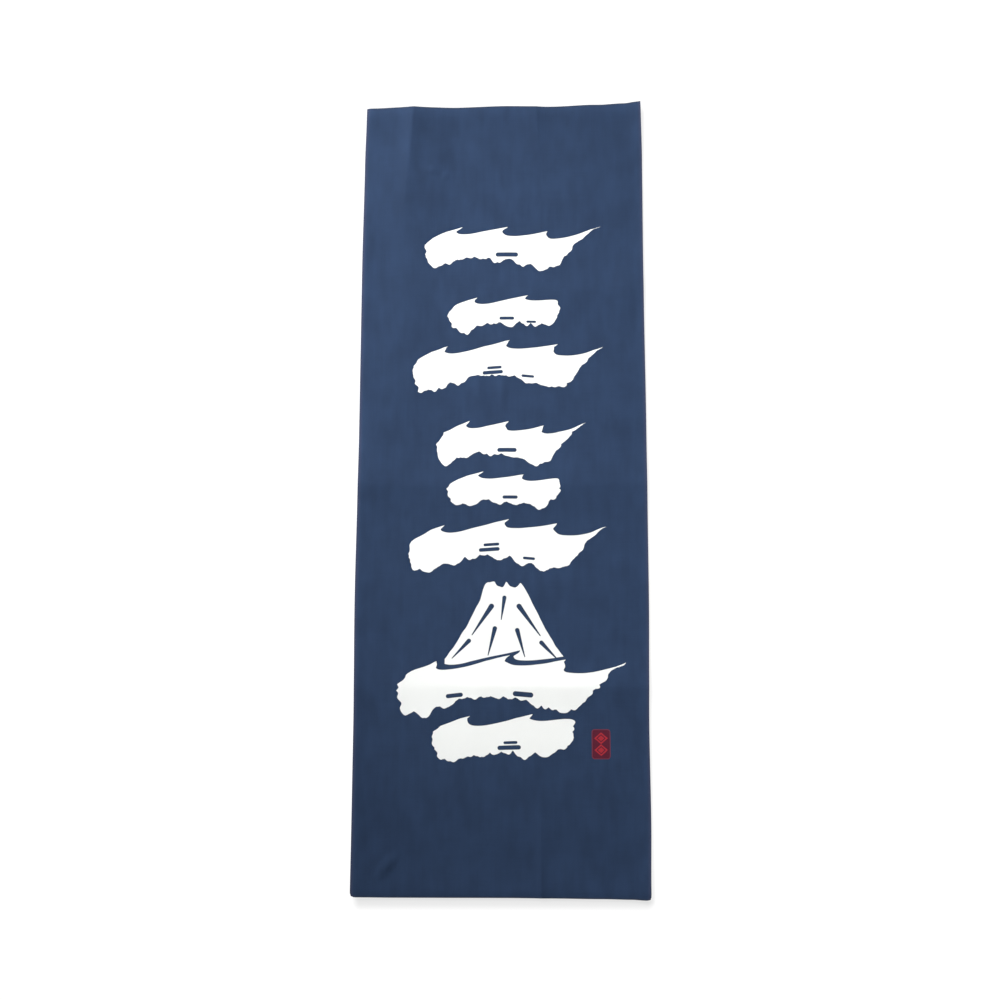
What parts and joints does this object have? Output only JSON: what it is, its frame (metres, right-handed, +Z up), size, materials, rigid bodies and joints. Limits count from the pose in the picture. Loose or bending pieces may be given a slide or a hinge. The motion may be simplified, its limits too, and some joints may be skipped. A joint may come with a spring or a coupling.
{
  "type": "tenugui towel",
  "caption": "Long thin cotton hand towel, opened out flat, dyed navy with white brushed wave motifs and a small red stamp.",
  "frame": {"origin": "middle of the cloth's outline, on the plane it lies on", "axes": "+Y along the cloth towards its top end, +X to the right of its dyed face, +Z up out of the dyed face"},
  "size_m": [0.3449, 0.9588, 0.0068],
  "materials": {
    "navy_cotton": "matt plain-weave cotton, navy ground with undyed white motifs and a small red stamp"
  },
  "bodies": {
    "root": {"cloth": "navy_cotton"}
  },
  "joints": []
}
